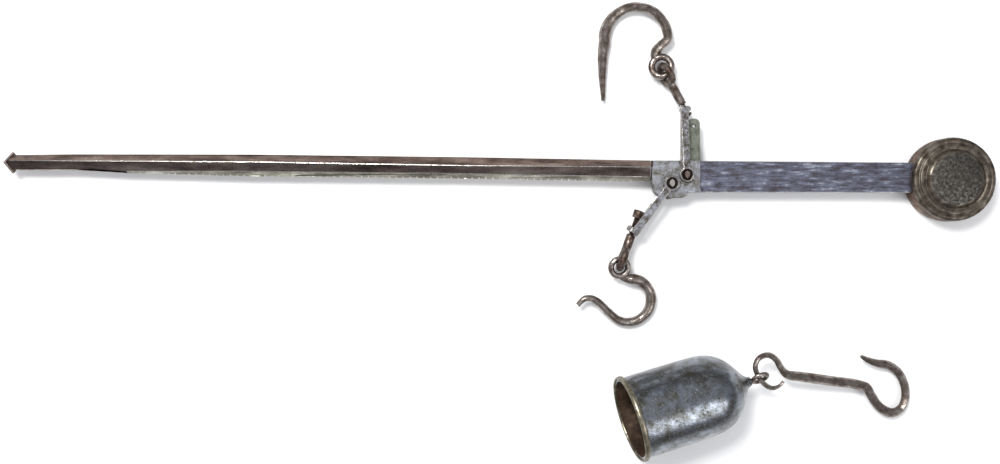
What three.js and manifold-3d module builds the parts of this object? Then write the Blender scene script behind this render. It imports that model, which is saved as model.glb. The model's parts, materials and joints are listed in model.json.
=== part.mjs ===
// A hand-forged steelyard balance, laid flat on a table, in millimetres with +Z up.
// The long notched arm points to -X and the counterweight disc lies at +X. The load shackle with its
// pointed hook lies towards +Y, the suspension shackle with its curled hook towards -Y, and the
// sliding poise, a bell with its own hook, lies apart in front of the flat bar.
import * as THREE from "three";
import { mergeVertices } from "three/addons/utils/BufferGeometryUtils.js";
import Module from "manifold-3d";

const wasm = await Module();
wasm.setup();

// Driving dimensions
const BEAM_HEIGHT = 13; // middle plane of the beam above the table
const ARM_LENGTH = 460.4;
const ARM_START = -14.8; // the arm's thick end, from the suspension pin
const END_LEAN = THREE.MathUtils.degToRad(28); // the end plate leans outwards at its top
const END_PLATE_SIDE = 11.2;
const END_PLATE_THICKNESS = 2;
const TENON_RADIUS = 2.4;
const NOTCH_PITCH = 5;
const NOTCH_DEPTH = 0.8;
const NOTCH_WIDTH = 1.4;
const NOTCH_FIRST = 14; // from the arm's thick end to the first notch
const NOTCH_LAST = 408; // from the arm's thick end to the last notch

const BAR_THICKNESS = 7;
const BAR_LENGTH = 181.9; // from the cheeks' right edge to the disc's centre
const BAR_TOP = 16.3; // above the suspension pin, at the cheeks
const BAR_BOTTOM = -6.6;
const BAR_END_TOP = 14.6; // at the disc's edge
const BAR_END_BOTTOM = -6.8;

const CHEEK_THICKNESS = 2;
const CHEEK_RIGHT = 20.9;
const LOAD_PIN = new THREE.Vector2(10.8, 6.1); // from the suspension pin
const PIN_HALF_WIDTH = 2.05;
const PIN_HALF_HEIGHT = 3.05;
const PIN_FIT = 0.1;
const PIN_STAND_OUT = 0.9; // beyond the shackle rings

const TONGUE_X = 16.7;
const TONGUE_WIDTH = 8.7;
const TONGUE_THICKNESS = 3;
const TONGUE_STANDS = 30.6; // above the bar's top
const TONGUE_DEEP = 7; // into the beam
const TONGUE_HOLE_RADIUS = 1.2;
const TONGUE_HOLE_DOWN = 5.6;

const DISC_RADIUS = 30.3;
const DISC_THICKNESS = 26;
const DISC_DROP = 2.7; // the disc's centre above the suspension pin's level
const RIM_HEIGHT = 21.6; // where the front rim starts
const STEP_RADIUS = 25.6;
const STEP_HEIGHT = 24;
const BOSS_RADIUS = 21.2;
const BOSS_TOP_RADIUS = 18.4;
const RIVET_RADIUS = 3;

const RUNNING_GAP = 0.3;
const RING_THICKNESS = 3;

const BELL_LENGTH = 92;
const BELL_WALL = 1.6;
const BELL_BODY_RADIUS = 29.2;
const BELL_RIM_BEAD = 1.6;
const BELL_RIM_RADIUS = BELL_BODY_RADIUS + BELL_RIM_BEAD;
const BELL_SHOULDER_RADIUS = 28.6;
const DOME_HEIGHT = 36; // the dome starts this far below the tip
const BELL_TILT = THREE.MathUtils.degToRad(8.6); // the heavy crown end lies lower
const BELL_TURN = THREE.MathUtils.degToRad(16);
const BELL_TIP = new THREE.Vector2(55.7, -142); // from the suspension pin
const LOOP_WIRE = 1.6;

// Rings of points joined into one closed skin, each ring turning anticlockwise about the way it goes
function loft(rings) {
  const count = rings[0].length;
  const points = rings.flat();
  const middle = (ring) => ring.reduce((sum, p) => sum.add(p), new THREE.Vector3()).divideScalar(count);
  const first = points.length;
  points.push(middle(rings[0]), middle(rings[rings.length - 1]));
  const index = [];
  for (let i = 0; i + 1 < rings.length; i++) {
    for (let j = 0; j < count; j++) {
      const a = i * count + j;
      const b = i * count + ((j + 1) % count);
      index.push(a, b, b + count, a, b + count, a + count);
    }
  }
  const last = (rings.length - 1) * count;
  for (let j = 0; j < count; j++) {
    const k = (j + 1) % count;
    index.push(first, k, j, first + 1, last + j, last + k);
  }
  const geometry = new THREE.BufferGeometry().setFromPoints(points);
  geometry.setIndex(index);
  return geometry;
}

// A closed geometry as a solid, with its doubled points merged and its faces outwards
function solid(geometry) {
  const bare = geometry.clone();
  bare.deleteAttribute("normal");
  bare.deleteAttribute("uv");
  const merged = mergeVertices(bare, 1e-4);
  const found = [];
  for (let i = 0; i < merged.index.count; i += 3) {
    const [a, b, c] = [0, 1, 2].map((k) => merged.index.getX(i + k));
    if (a !== b && b !== c && c !== a) found.push(a, b, c);
  }
  const make = (list) =>
    new wasm.Manifold(
      new wasm.Mesh({
        numProp: 3,
        vertProperties: new Float32Array(merged.attributes.position.array),
        triVerts: new Uint32Array(list),
      }),
    );
  const made = make(found);
  if (made.volume() > 0) return made;
  const turned = [];
  for (let i = 0; i < found.length; i += 3) turned.push(found[i], found[i + 2], found[i + 1]);
  return make(turned);
}

function skin(made) {
  const mesh = made.getMesh();
  const geometry = new THREE.BufferGeometry();
  geometry.setAttribute("position", new THREE.BufferAttribute(mesh.vertProperties, 3));
  geometry.setIndex(new THREE.BufferAttribute(mesh.triVerts, 1));
  const flat = geometry.toNonIndexed();
  flat.computeVertexNormals();
  return flat;
}

const join = (...parts) => parts.map(solid).reduce((all, part) => all.add(part));
const cut = (from, ...tools) => tools.map(solid).reduce((left, tool) => left.subtract(tool), from);

// A plate with its outline in X and Y, from one height to another
function plate(shape, from, to, segments = 12) {
  const settings = { depth: to - from, bevelEnabled: false, curveSegments: segments };
  return new THREE.ExtrudeGeometry(shape, settings).translate(0, 0, from);
}

const outline = (points) => new THREE.Shape(points.map(([x, y]) => new THREE.Vector2(x, y)));

function rod(radius, length, sides = 20) {
  return new THREE.CylinderGeometry(radius, radius, length, sides);
}

// A lathe profile of [radius, height] pairs, turned about +Z
function turned(profile, segments) {
  const points = profile.map(([r, z]) => new THREE.Vector2(r, z));
  return new THREE.LatheGeometry(points, segments).rotateX(Math.PI / 2);
}

function arc(x, y, radius, from, to, steps) {
  return Array.from({ length: steps + 1 }, (_, i) => {
    const angle = THREE.MathUtils.degToRad(from + ((to - from) * i) / steps);
    return [x + radius * Math.cos(angle), y + radius * Math.sin(angle)];
  });
}

// Value at a share of the length, from [share, value] stations
function between(stations, share) {
  const k = Math.max(1, stations.findIndex(([at]) => at >= share));
  const [[a, low], [b, high]] = [stations[k - 1], stations[k]];
  return low + ((high - low) * (share - a)) / (b - a);
}

// A bar swept along points in the XY plane. Its section is a rounded square stood on its corner when
// squareness is near 1, and round when it is 0.
function forged(points, stations, { sides = 10, steps = 40, squareness = 0 }) {
  const path = new THREE.CatmullRomCurve3(points.map(([x, y]) => new THREE.Vector3(x, y, 0)), false, "centripetal");
  const rings = [];
  for (let i = 0; i <= steps; i++) {
    const share = i / steps;
    const at = path.getPointAt(share);
    const along = path.getTangentAt(share);
    const side = new THREE.Vector3(-along.y, along.x, 0);
    const radius = between(stations, share);
    rings.push(
      Array.from({ length: sides }, (_, j) => {
        const turn = (2 * Math.PI * j) / sides;
        const [c, s] = [Math.cos(turn), Math.sin(turn)];
        const reach = radius * (1 - squareness + squareness / (Math.abs(c) + Math.abs(s)));
        return at.clone().addScaledVector(side, reach * c).add(new THREE.Vector3(0, 0, reach * s));
      }),
    );
  }
  return loft(rings);
}

// A forged eye: a flattened ring about +Z
function eyeRing(outer, inner, halfThickness, segments = 26) {
  const middle = (outer + inner) / 2;
  const half = (outer - inner) / 2;
  const profile = Array.from({ length: 9 }, (_, i) => {
    const turn = (2 * Math.PI * i) / 8;
    return [middle + half * Math.cos(turn), halfThickness * Math.sin(turn)];
  });
  return turned(profile, segments);
}

const MATERIALS = {
  forgedIron: { color: 0x5c534c, roughness: 0.5, metalness: 0.85 },
  brightSteel: { color: 0x8b8d96, roughness: 0.38, metalness: 0.95 },
  rustyIron: { color: 0x63493a, roughness: 0.65, metalness: 0.6 },
  agedBrass: { color: 0x6f6553, roughness: 0.5, metalness: 0.85 },
  tinnedSheet: { color: 0x8d9096, roughness: 0.3, metalness: 1 },
  lead: { color: 0x4e4f52, roughness: 0.7, metalness: 0.6 },
};

const balance = new THREE.Group();
balance.name = "steelyard_balance";

function place(parent, name, shape, material) {
  const geometry = shape.getMesh ? skin(shape) : shape;
  const mesh = new THREE.Mesh(geometry, new THREE.MeshStandardMaterial(MATERIALS[material]));
  mesh.name = name;
  parent.add(mesh);
  return mesh;
}

function frameAt(name, position) {
  const group = new THREE.Group();
  group.name = name;
  group.position.copy(position);
  balance.add(group);
  return group;
}

// Beam: heights across the beam at shares of the arm's length, measured from the suspension pin
const ARM_STATIONS = [
  { share: 0, top: 16.8, ridge: 11.6, arris: 4.3, edge: 1.1, ridgeHigh: 7, arrisHigh: 5.2 },
  { share: 0.3, top: 19.3, ridge: 12.8, arris: 6.9, edge: 3.4, ridgeHigh: 6.8, arrisHigh: 5 },
  { share: 0.63, top: 21.1, ridge: 15.4, arris: 8.6, edge: 5, ridgeHigh: 6.4, arrisHigh: 4.6 },
  { share: 0.82, top: 21.3, ridge: 15.9, arris: 8.8, edge: 7.3, ridgeHigh: 6, arrisHigh: 3.4 },
  { share: 0.905, top: 21.3, ridge: 16, arris: 10, edge: 9.3, ridgeHigh: 5.8, arrisHigh: 1.6 },
  { share: 1, top: 20.8, ridge: 16.6, arris: 9.9, edge: 9.2, ridgeHigh: 5.6, arrisHigh: 1.2 },
];

function armSection(station) {
  const { share, top, ridge, arris, edge, ridgeHigh, arrisHigh } = station;
  const half = [[top, 0], [ridge, ridgeHigh], [arris, arrisHigh], [edge, 0], [arris, -arrisHigh], [ridge, -ridgeHigh]];
  const x = ARM_START - share * ARM_LENGTH;
  const lean = share === 1 ? Math.tan(END_LEAN) : 0;
  return half.map(([y, z]) => new THREE.Vector3(x - z * lean, y, z));
}

// The arm's own points turn anticlockwise seen from its tip, which is the way the rings go
const ARM_TIP = ARM_STATIONS[ARM_STATIONS.length - 1];
const ARM_TIP_X = ARM_START - ARM_LENGTH;
const ARM_TIP_Y = (ARM_TIP.top + ARM_TIP.edge) / 2;

function edgeAt(distance) {
  return between(ARM_STATIONS.map((s) => [s.share, s.edge]), distance / ARM_LENGTH);
}

function armSolid() {
  const neckAt = (x) =>
    armSection(ARM_STATIONS[0]).map((p) => new THREE.Vector3(x, p.y, Math.sign(p.z) * BAR_HALF));
  const arm = loft([neckAt(ARM_START + 8), neckAt(ARM_START + 0.1), ...ARM_STATIONS.map(armSection)]);
  const tenonLength = 2 * END_PLATE_THICKNESS + 6;
  const tenon = rod(TENON_RADIUS, tenonLength)
    .rotateZ(Math.PI / 2)
    .translate(ARM_TIP_X + 4 - tenonLength / 2 + 0.2, ARM_TIP_Y, 0);
  return join(arm, tenon);
}

function notchTools() {
  const tools = [];
  for (let along = NOTCH_FIRST; along <= NOTCH_LAST; along += NOTCH_PITCH) {
    const x = ARM_START - along;
    const y = edgeAt(along);
    const half = NOTCH_WIDTH / 2;
    const vee = outline([[x - half, y - 0.4], [x + half, y - 0.4], [x, y + NOTCH_DEPTH]]);
    tools.push(plate(vee, -6, 6));
  }
  return tools;
}

// The lobed outline of the middle of the beam, which the cheeks and the block between them share
function lobedOutline(inset) {
  return outline([
    [-12.8 + inset, BAR_TOP - inset * 0.2],
    [-14.4 + inset, 5.8],
    [-13.7 + inset, 0.1],
    [-12.2 + inset, -6.4 + inset],
    [-9.9 + inset, -8.6 + inset],
    [-1.4, -11.5 + inset],
    [2.9, -10.5 + inset],
    [8.8, -10.3 + inset],
    [10.6 - inset, -9.2 + inset],
    [12.2 - inset, BAR_BOTTOM],
    [CHEEK_RIGHT, BAR_BOTTOM],
    [CHEEK_RIGHT, BAR_TOP - inset * 0.2],
  ]);
}

const DISC_CENTRE = new THREE.Vector2(CHEEK_RIGHT + BAR_LENGTH, DISC_DROP);
const BAR_HALF = BAR_THICKNESS / 2;

function barOutline(grow) {
  const end = DISC_CENTRE.x - DISC_RADIUS + 4;
  const tip = DISC_CENTRE.x + 4;
  return outline([
    [CHEEK_RIGHT - 12, BAR_BOTTOM - grow],
    [end, BAR_END_BOTTOM - grow],
    [tip, BAR_END_BOTTOM - grow],
    [tip + grow, BAR_END_TOP + grow],
    [end, BAR_END_TOP + grow],
    [CHEEK_RIGHT - 12, BAR_TOP + grow],
  ]);
}

function pinOutline(grow) {
  const [w, h] = [PIN_HALF_WIDTH + grow, PIN_HALF_HEIGHT + grow];
  return outline([[0, -h], [w * 0.72, -h * 0.55], [w, 0], [w * 0.72, h * 0.55], [0, h], [-w * 0.72, h * 0.55], [-w, 0], [-w * 0.72, -h * 0.55]]);
}

const CHEEK_FACE = BAR_HALF + CHEEK_THICKNESS;
const RING_FACE = CHEEK_FACE + RUNNING_GAP;
const RING_TOP = RING_FACE + RING_THICKNESS;

const pinHole = (at, reach) => plate(pinOutline(PIN_FIT), -reach, reach).translate(at.x, at.y, 0);
const SUSPENSION_PIN = new THREE.Vector2(0, 0);

const tongueSlotHalf = TONGUE_WIDTH / 2 + RUNNING_GAP;
const tongueSlot = new THREE.BoxGeometry(2 * tongueSlotHalf, TONGUE_DEEP + 2, TONGUE_THICKNESS + 2 * RUNNING_GAP).translate(
  TONGUE_X,
  BAR_TOP - TONGUE_DEEP - RUNNING_GAP + (TONGUE_DEEP + 2) / 2,
  0,
);

const beam = frameAt("beam_frame", new THREE.Vector3(0, 0, BEAM_HEIGHT));

function beamBar() {
  const block = plate(lobedOutline(0.6), -BAR_HALF, BAR_HALF);
  const bar = plate(barOutline(0), -BAR_HALF, BAR_HALF);
  const whole = armSolid().add(join(block, bar));
  const rivetHole = rod(RIVET_RADIUS + 0.15, 2 * BAR_THICKNESS).rotateX(Math.PI / 2).translate(DISC_CENTRE.x - 8, DISC_CENTRE.y, 0);
  return cut(
    whole,
    ...notchTools(),
    pinHole(SUSPENSION_PIN, BAR_THICKNESS),
    pinHole(LOAD_PIN, BAR_THICKNESS),
    tongueSlot,
    rivetHole,
  );
}
place(beam, "beam_bar", beamBar(), "forgedIron");

function cheek(side) {
  const from = side > 0 ? BAR_HALF : -CHEEK_FACE;
  const blank = solid(plate(lobedOutline(0), from, from + CHEEK_THICKNESS));
  return cut(blank, pinHole(SUSPENSION_PIN, 12), pinHole(LOAD_PIN, 12));
}
place(beam, "front_cheek_plate", cheek(1), "brightSteel");
place(beam, "rear_cheek_plate", cheek(-1), "brightSteel");

function tongueSolid() {
  const half = TONGUE_WIDTH / 2;
  const top = BAR_TOP + TONGUE_STANDS;
  const round = 3.6;
  const shape = new THREE.Shape();
  shape.moveTo(-half, BAR_TOP - TONGUE_DEEP);
  shape.lineTo(half, BAR_TOP - TONGUE_DEEP);
  shape.lineTo(half, top - round);
  shape.absarc(half - round, top - round, round, 0, Math.PI / 2, false);
  shape.absarc(-half + round, top - round, round, Math.PI / 2, Math.PI, false);
  shape.closePath();
  const blank = plate(shape, -TONGUE_THICKNESS / 2, TONGUE_THICKNESS / 2, 6).translate(TONGUE_X, 0, 0);
  const hole = rod(TONGUE_HOLE_RADIUS, 10, 14).rotateX(Math.PI / 2).translate(TONGUE_X, top - TONGUE_HOLE_DOWN, 0);
  return cut(solid(blank), hole);
}
place(beam, "tongue", tongueSolid(), "brightSteel");

function endStop() {
  const blank = new THREE.BoxGeometry(END_PLATE_THICKNESS, END_PLATE_SIDE, END_PLATE_SIDE).rotateX(Math.PI / 4);
  blank.rotateY(-END_LEAN).translate(ARM_TIP_X - END_PLATE_THICKNESS / 2 / Math.cos(END_LEAN) - RUNNING_GAP, ARM_TIP_Y, 0);
  const hole = rod(TENON_RADIUS + 0.15, 30).rotateZ(Math.PI / 2).translate(ARM_TIP_X, ARM_TIP_Y, 0);
  return cut(solid(blank), hole);
}
place(beam, "end_stop", endStop(), "forgedIron");

for (const [name, at] of [["suspension_knife_pin", SUSPENSION_PIN], ["load_knife_pin", LOAD_PIN]]) {
  const reach = RING_TOP + PIN_STAND_OUT;
  place(beam, name, plate(pinOutline(0), -reach, reach).translate(at.x, at.y, 0), "forgedIron");
}

function discSolid() {
  const profile = [
    [0, 0],
    [DISC_RADIUS - 2.4, 0],
    [DISC_RADIUS - 0.6, 1.6],
    [DISC_RADIUS, 6],
    [DISC_RADIUS, RIM_HEIGHT - 3],
    [DISC_RADIUS - 0.5, RIM_HEIGHT - 0.6],
    [DISC_RADIUS - 1.4, RIM_HEIGHT + 0.4],
    [STEP_RADIUS + 0.9, RIM_HEIGHT + 0.9],
    [STEP_RADIUS + 0.5, RIM_HEIGHT + 0.3],
    [STEP_RADIUS, STEP_HEIGHT - 0.5],
    [STEP_RADIUS - 0.6, STEP_HEIGHT],
    [BOSS_RADIUS + 1.1, STEP_HEIGHT],
    [BOSS_RADIUS + 0.5, STEP_HEIGHT - 0.9],
    [BOSS_RADIUS, STEP_HEIGHT - 0.4],
    [(BOSS_RADIUS + BOSS_TOP_RADIUS) / 2, DISC_THICKNESS - 0.6],
    [BOSS_TOP_RADIUS, DISC_THICKNESS],
    [0, DISC_THICKNESS],
  ];
  const blank = turned(profile, 48).translate(DISC_CENTRE.x, DISC_CENTRE.y, -BEAM_HEIGHT);
  const slot = plate(barOutline(RUNNING_GAP), -BAR_HALF - RUNNING_GAP, BAR_HALF + RUNNING_GAP);
  const hole = rod(RIVET_RADIUS + 0.15, BEAM_HEIGHT).rotateX(Math.PI / 2).translate(DISC_CENTRE.x - 8, DISC_CENTRE.y, -BEAM_HEIGHT / 2 - 0.5);
  return cut(solid(blank), slot, hole);
}
place(beam, "counterweight_disc", discSolid(), "agedBrass");

const rivetLength = BEAM_HEIGHT + BAR_HALF - 0.5;
const rivet = rod(RIVET_RADIUS, rivetLength).rotateX(Math.PI / 2).translate(DISC_CENTRE.x - 8, DISC_CENTRE.y, -BEAM_HEIGHT + 0.3 + rivetLength / 2);
place(beam, "counterweight_rivet", rivet, "forgedIron");

// Shackles: each is a U that straddles the beam, drawn with its pin at the origin and its crown at +Y.
// The stud hole is bored where the swivel leaves the crown, aslant as the old shackle has worn.
function shackle(s) {
  const arm = (lean, from) => {
    const ring = new THREE.Shape().absarc(0, 0, s.ringOuter, 0, 2 * Math.PI, false);
    const half = s.armWidth / 2;
    const strap = new THREE.Shape();
    strap.moveTo(-half * 0.9, 0);
    strap.lineTo(half * 0.9, 0);
    strap.lineTo(half, s.length - s.endRound);
    if (s.endRound > 1) strap.absarc(0, s.length - s.endRound, half, 0, Math.PI, false);
    else strap.lineTo(-half, s.length - s.endRound);
    strap.closePath();
    const blank = join(plate(ring, from, from + RING_THICKNESS, 11), plate(strap, from, from + RING_THICKNESS, 8));
    const bore = rod(s.ringInner, 4 * RING_THICKNESS, 22).rotateX(Math.PI / 2).translate(0, 0, from);
    return skin(cut(blank, bore)).rotateZ(lean);
  };
  const crown = new THREE.Shape();
  const [left, right, low, high, round] = [s.crownLeft, s.crownRight, s.length - s.crownThickness, s.length, s.crownRound];
  crown.moveTo(left, low);
  crown.lineTo(right, low);
  crown.lineTo(right, high - round);
  crown.absarc(right - round, high - round, round, 0, Math.PI / 2, false);
  crown.absarc(left + round, high - round, round, Math.PI / 2, Math.PI, false);
  crown.closePath();
  const reach = RING_FACE + 0.6;
  const bore = rod(s.neck + s.neckGap, 14, 16);
  bore.applyQuaternion(new THREE.Quaternion().setFromUnitVectors(new THREE.Vector3(0, 1, 0), s.studWay));
  bore.translate(s.stud.x, s.stud.y, 0);
  return cut(join(arm(s.frontLean, RING_FACE), arm(s.rearLean, -RING_TOP), plate(crown, -reach, reach, 6)), bore);
}

// Swivel stud about +Y: peened end, neck through the crown, collar, shank and a long eye whose far
// wire is centred at the eye distance. The eye lies in the YZ plane until the stud is turned.
function swivelStud(s) {
  const profile = [
    [0, -s.tail],
    [s.neck, -s.tail],
    [s.neck, s.collarAt],
    [s.collar, s.collarAt + 0.3],
    [s.collar, s.collarAt + 1.8],
    [s.shank, s.collarAt + 3],
    [s.shank * 0.95, s.eyeNear + 1],
    [0, s.eyeNear + 1],
  ];
  const stem = new THREE.LatheGeometry(profile.map(([r, y]) => new THREE.Vector2(r, y)), 16);
  const centre = (s.eyeNear + s.eyeFar) / 2;
  const half = (s.eyeFar - s.eyeNear) / 2;
  const sides = 8;
  const steps = 26;
  const points = [];
  const index = [];
  for (let i = 0; i < steps; i++) {
    const turn = (2 * Math.PI * i) / steps;
    const [c, d] = [Math.cos(turn), Math.sin(turn)];
    const at = new THREE.Vector3(0, centre + half * c, s.eyeHalfWidth * d);
    const out = new THREE.Vector3(0, c / half, d / s.eyeHalfWidth).normalize();
    for (let j = 0; j < sides; j++) {
      const around = (2 * Math.PI * j) / sides;
      const p = at.clone().addScaledVector(out, s.wire * Math.cos(around));
      points.push(p.add(new THREE.Vector3(s.wire * Math.sin(around), 0, 0)));
      const [a, b] = [i * sides + j, i * sides + ((j + 1) % sides)];
      const [e, f] = [((i + 1) % steps) * sides + j, ((i + 1) % steps) * sides + ((j + 1) % sides)];
      index.push(a, b, f, a, f, e);
    }
  }
  const eye = new THREE.BufferGeometry().setFromPoints(points);
  eye.setIndex(index);
  return join(stem, eye);
}

function washer(s) {
  const ring = rod(s.washer, s.washerThickness, 8);
  const bore = rod(s.neck + 0.12, 3 * s.washerThickness, 16);
  return cut(solid(ring), bore).translate(0, -s.washerAt - s.washerThickness / 2, 0);
}

const flatDirection = (from, to) => new THREE.Vector3(to.x - from.x, to.y - from.y, to.z - from.z);

// One side's chain of shackle, swivel and hook, placed from its pin
function chain(name, s) {
  const pin = new THREE.Vector3(s.pin.x, s.pin.y, BEAM_HEIGHT);
  const turn = new THREE.Quaternion().setFromAxisAngle(new THREE.Vector3(0, 0, 1), s.armTurn);
  const crown = new THREE.Vector3(s.stud.x, s.stud.y, 0).applyQuaternion(turn).add(pin);
  const eye = new THREE.Vector3(crown.x + s.eyeOffset.x, crown.y + s.eyeOffset.y, s.eyeHeight);
  const way = flatDirection(crown, eye);
  const reach = way.length();
  way.normalize();
  const local = way.clone().applyQuaternion(turn.clone().invert());
  const sizes = { ...s, studWay: local, eyeFar: reach };
  const shackleFrame = frameAt(name + "_shackle_frame", pin);
  shackleFrame.quaternion.copy(turn);
  place(shackleFrame, name + "_shackle", shackle(sizes), "brightSteel");
  const studFrame = frameAt(name + "_swivel_frame", crown);
  const up = new THREE.Vector3(0, 0, 1).addScaledVector(way, -way.z).normalize();
  const aside = new THREE.Vector3().crossVectors(way, up);
  const aim = new THREE.Quaternion().setFromRotationMatrix(new THREE.Matrix4().makeBasis(aside, way, up));
  const roll = new THREE.Quaternion().setFromAxisAngle(new THREE.Vector3(0, 1, 0), s.eyeRoll);
  studFrame.quaternion.copy(aim.multiply(roll));
  place(studFrame, name + "_swivel_stud", swivelStud(sizes), "rustyIron");
  place(studFrame, name + "_swivel_washer", washer(sizes), "rustyIron");
  const hookFrame = frameAt(name + "_hook_frame", eye);
  const normal = new THREE.Vector3(-s.hookSlope.x, -s.hookSlope.y, 1).normalize();
  hookFrame.quaternion.setFromUnitVectors(new THREE.Vector3(0, 0, 1), normal);
  const ring = eyeRing(s.hookEyeOuter, s.hookEyeInner, s.hookEyeHalf);
  const bore = rod(s.hookEyeInner, 30, 26).rotateX(Math.PI / 2);
  const blank = join(ring, forged(s.hookPath, s.hookRadius, s.hookSection));
  place(hookFrame, name + "_hook", cut(blank, bore), "forgedIron");
}

chain("load", {
  pin: LOAD_PIN,
  armTurn: 0,
  ringOuter: 5.4,
  ringInner: 4,
  armWidth: 5.5,
  endRound: 2.65,
  length: 49.4,
  frontLean: THREE.MathUtils.degToRad(2.4),
  rearLean: THREE.MathUtils.degToRad(-0.5),
  crownLeft: -3.4,
  crownRight: 3.1,
  crownThickness: 3.2,
  crownRound: 1.5,
  stud: new THREE.Vector2(-0.2, 47.8),
  neck: 1.4,
  neckGap: 0.3,
  washer: 2.9,
  washerThickness: 1.6,
  washerAt: 3.8,
  tail: 5.9,
  collarAt: 3.6,
  collar: 2.9,
  shank: 3.2,
  eyeOffset: new THREE.Vector2(-16.6, 31.3),
  eyeHeight: 9.4,
  eyeNear: 21.6,
  eyeHalfWidth: 6.5,
  wire: 2.8,
  eyeRoll: THREE.MathUtils.degToRad(20),
  hookSlope: new THREE.Vector2(0.121, 0),
  hookEyeOuter: 9.6,
  hookEyeInner: 4.6,
  hookEyeHalf: 2.2,
  hookPath: [
    [-5.2, 5.2],
    [-4.4, 10.4],
    [-0.8, 15],
    ...arc(-18.4, 21.1, 22.9, -2, 184, 16),
    [-42.6, 8],
    [-42.9, -6],
    [-42.4, -24.3],
  ],
  hookRadius: [[0, 3], [0.05, 3.8], [0.1, 3.4], [0.2, 3.6], [0.36, 3.5], [0.5, 3.6], [0.62, 4.5], [0.72, 4.1], [0.86, 2.9], [1, 1.4]],
  hookSection: { steps: 44, squareness: 0.35 },
});

chain("suspension", {
  pin: SUSPENSION_PIN,
  armTurn: THREE.MathUtils.degToRad(143.6),
  ringOuter: 5.8,
  ringInner: 4.1,
  armWidth: 5.7,
  endRound: 0.4,
  length: 45.4,
  frontLean: THREE.MathUtils.degToRad(-0.4),
  rearLean: THREE.MathUtils.degToRad(1.6),
  crownLeft: -3.2,
  crownRight: 6,
  crownThickness: 3.4,
  crownRound: 1.2,
  stud: new THREE.Vector2(1.8, 43.6),
  neck: 1.9,
  neckGap: 0.3,
  washer: 4.1,
  washerThickness: 5.6,
  washerAt: 9.4,
  tail: 15.2,
  collarAt: 3.2,
  collar: 3.3,
  shank: 3.4,
  eyeOffset: new THREE.Vector2(-9.4, -27),
  eyeHeight: 10.9,
  eyeNear: 15.4,
  eyeHalfWidth: 6.5,
  wire: 2.8,
  eyeRoll: 0,
  hookSlope: new THREE.Vector2(-0.095, 0.155),
  hookEyeOuter: 8.4,
  hookEyeInner: 4.1,
  hookEyeHalf: 2.4,
  hookPath: [
    [0.8, -6],
    [6.4, -8.3],
    ...arc(7.4, -24.4, 16.5, 66, -134, 16),
    [-10.9, -29.7],
    [-16, -24.9],
    [-20.6, -22.6],
    [-25.6, -23],
    [-30.3, -27.6],
  ],
  hookRadius: [[0, 3], [0.08, 3.9], [0.3, 3.9], [0.5, 3.4], [0.7, 3.1], [0.85, 2.8], [1, 1.9]],
  hookSection: { steps: 44, squareness: 0.1 },
});

// Poise bell about +Z: its mouth at the bottom and its tip at the top, then laid down
const BELL_PROFILE = [
  [BELL_BODY_RADIUS - BELL_WALL, 0],
  [BELL_BODY_RADIUS, 0],
  [BELL_BODY_RADIUS, BELL_LENGTH - 72],
  [BELL_SHOULDER_RADIUS, BELL_LENGTH - DOME_HEIGHT],
  [BELL_SHOULDER_RADIUS - 0.7, BELL_LENGTH - 30],
  [BELL_SHOULDER_RADIUS - 2.6, BELL_LENGTH - 24],
  [BELL_SHOULDER_RADIUS - 5.8, BELL_LENGTH - 18.4],
  [BELL_SHOULDER_RADIUS - 10.6, BELL_LENGTH - 13.4],
  [BELL_SHOULDER_RADIUS - 16, BELL_LENGTH - 9.4],
  [BELL_SHOULDER_RADIUS - 21, BELL_LENGTH - 6],
  [BELL_SHOULDER_RADIUS - 24.2, BELL_LENGTH - 3],
  [BELL_SHOULDER_RADIUS - 25.4, BELL_LENGTH],
];
const STEM_HOLE = LOOP_WIRE + RUNNING_GAP;

function bellSolid() {
  const inner = BELL_PROFILE.slice(2, 9).map(([r, z]) => [r - BELL_WALL, z - (z > BELL_LENGTH - DOME_HEIGHT + 2 ? BELL_WALL * 0.8 : 0)]);
  const profile = [...BELL_PROFILE, [STEM_HOLE, BELL_LENGTH], [STEM_HOLE, BELL_LENGTH - 9.6], ...inner.reverse(), BELL_PROFILE[0]];
  return solid(turned(profile, 40));
}

function rimRing() {
  const inner = BELL_BODY_RADIUS + 0.15;
  const bead = [[inner, -0.6], [inner + 0.5, -1.2], [BELL_RIM_RADIUS, -0.5], [BELL_RIM_RADIUS + 0.3, 1], [BELL_RIM_RADIUS, 2.4], [inner + 0.4, 3], [inner, 2.6]];
  return solid(turned([...bead, bead[0]], 40));
}

const LEAD_DEPTH = 26; // from the tip to the lead's open face

function leadFill() {
  const clear = BELL_WALL + RUNNING_GAP;
  const profile = [
    [STEM_HOLE, BELL_LENGTH - LEAD_DEPTH],
    [BELL_SHOULDER_RADIUS - 3 - clear, BELL_LENGTH - LEAD_DEPTH],
    [BELL_SHOULDER_RADIUS - 5.8 - clear, BELL_LENGTH - 20.6],
    [BELL_SHOULDER_RADIUS - 10.6 - clear, BELL_LENGTH - 15.8],
    [BELL_SHOULDER_RADIUS - 16 - clear, BELL_LENGTH - 12],
    [STEM_HOLE, BELL_LENGTH - 11.4],
    [STEM_HOLE, BELL_LENGTH - LEAD_DEPTH],
  ];
  return solid(turned(profile, 32));
}

// A closed wire loop in the XZ plane whose stem runs down -Z through the bell's tip
const LOOP_HALF_LENGTH = 5.6;
const LOOP_HALF_WIDTH = 5;
const LOOP_CENTRE = BELL_LENGTH + LOOP_HALF_LENGTH + LOOP_WIRE + RUNNING_GAP;

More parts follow.
